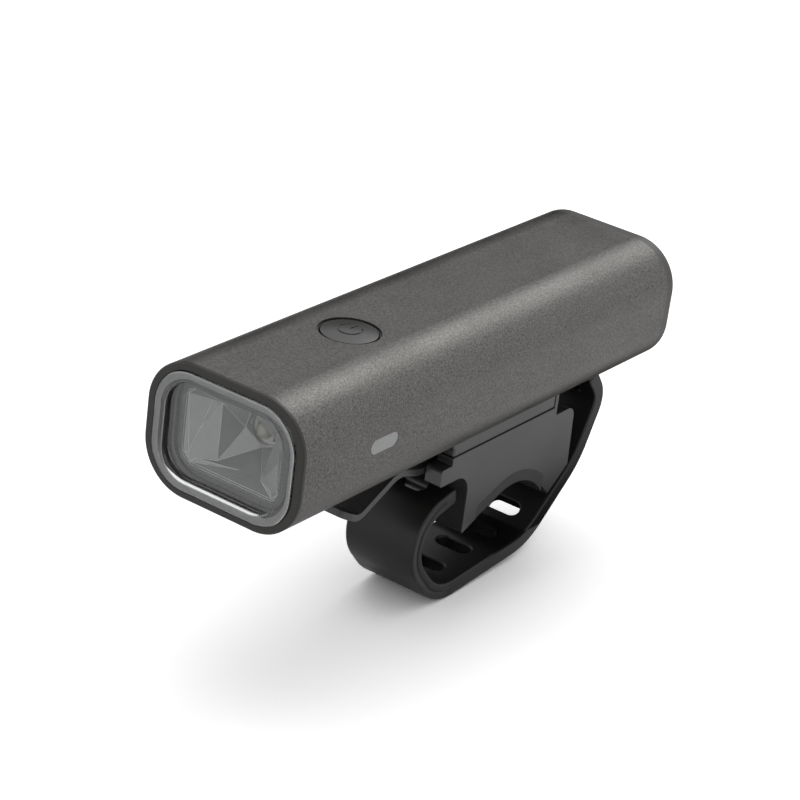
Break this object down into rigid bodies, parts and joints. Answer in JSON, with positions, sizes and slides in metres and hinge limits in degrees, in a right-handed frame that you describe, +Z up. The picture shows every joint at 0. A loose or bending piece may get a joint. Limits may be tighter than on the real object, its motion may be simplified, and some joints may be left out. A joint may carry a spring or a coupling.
{
  "type": "bike headlight",
  "caption": "Bike headlight: a slim rounded lamp body with a rear charging port on a rail, latched to a saddle bracket that a rubber ladder strap holds on a handlebar.",
  "frame": {"origin": "centre of the handlebar that the saddle sits on, midway along the saddle's width", "axes": "+X along the handlebar, -Y the way the light shines (the lamp's long axis lies along Y), +Z up"},
  "size_m": [0.031, 0.1078, 0.057],
  "materials": {
    "body_metal": "bead-blasted grey anodised",
    "bezel_plastic": "fine moulded satin",
    "cap_plastic": "fine moulded satin",
    "lens_clear": "clear polished polycarbonate",
    "reflector_metal": "vacuum metallised",
    "seal_rubber": "moulded",
    "seal_silicone": "translucent moulded silicone",
    "button_rubber": "fine matt silicone",
    "ring_plastic": "polished",
    "window_plastic": "translucent moulded",
    "bracket_plastic": "fine spark-eroded texture",
    "pad_rubber": "moulded",
    "strap_rubber": "satin moulded",
    "cover_rubber": "matt moulded",
    "fastener_steel": "zinc plated",
    "pin_steel": "ground",
    "emitter_phosphor": "silicone over phosphor",
    "emitter_board": "white solder mask on a metal core",
    "sink_metal": "machined",
    "board_laminate": "green solder mask",
    "inner_plastic": "moulded",
    "switch_plastic": "moulded",
    "indicator_clear": "clear epoxy",
    "cell_sleeve": "shrink sleeve",
    "tab_nickel": "nickel strip",
    "socket_steel": "drawn"
  },
  "bodies": {
    "bracket": {"bracket": "bracket_plastic", "saddle_pad": "pad_rubber", "strap_pin": "pin_steel"},
    "lamp": {"body_shell": "body_metal", "front_bezel": "bezel_plastic", "front_seal": "seal_rubber", "lens": "lens_clear", "lens_seal": "seal_silicone", "reflector": "reflector_metal", "led_emitter": "emitter_phosphor", "led_board": "emitter_board", "led_screws": "fastener_steel", "heat_sink": "sink_metal", "sink_screws": "fastener_steel", "main_board": "board_laminate", "board_tray": "inner_plastic", "board_screws": "fastener_steel", "tact_switch": "switch_plastic", "indicator_leds": "indicator_clear", "side_window_left": "window_plastic", "side_window_right": "window_plastic", "button_ring": "ring_plastic", "battery_cell": "cell_sleeve", "battery_tab_front": "tab_nickel", "battery_tab_rear": "tab_nickel", "battery_cradle": "inner_plastic", "charge_board": "board_laminate", "usb_socket": "socket_steel", "rear_cap": "cap_plastic", "rear_seal": "seal_rubber", "rear_cap_screws": "fastener_steel", "rail_shoe": "bracket_plastic", "rail_screws": "fastener_steel"},
    "release_tongue": {"release_tongue": "bracket_plastic"},
    "strap": {"strap": "strap_rubber"},
    "power_button": {"power_button": "button_rubber", "switch_plunger": "switch_plastic"},
    "usb_cover": {"usb_cover": "cover_rubber"}
  },
  "joints": [
    {"name": "lamp_slide", "type": "slide", "parent": "bracket", "child": "lamp", "axis": [0, -1, 0], "range_m": [0, 0.036]},
    {"name": "release_press", "type": "hinge", "parent": "bracket", "child": "release_tongue", "pos_m": [0, -0.0115, 0.0219], "axis": [1, 0, 0], "range_deg": [0, 6], "stiffness_Nm_per_rad": 1.5, "springref_deg": -0.57},
    {"name": "strap_swing", "type": "hinge", "parent": "bracket", "child": "strap", "pos_m": [0, -0.0176, 0.0155], "axis": [1, 0, 0], "range_deg": [-36, 0]},
    {"name": "button_press", "type": "slide", "parent": "lamp", "child": "power_button", "axis": [0, 0, -1], "range_m": [0, 0.00035], "stiffness_N_per_m": 3000, "springref_m": -0.0002},
    {"name": "cover_hinge", "type": "hinge", "parent": "lamp", "child": "usb_cover", "pos_m": [0, 0.0323, 0.0438], "axis": [1, 0, 0], "range_deg": [0, 90]}
  ]
}
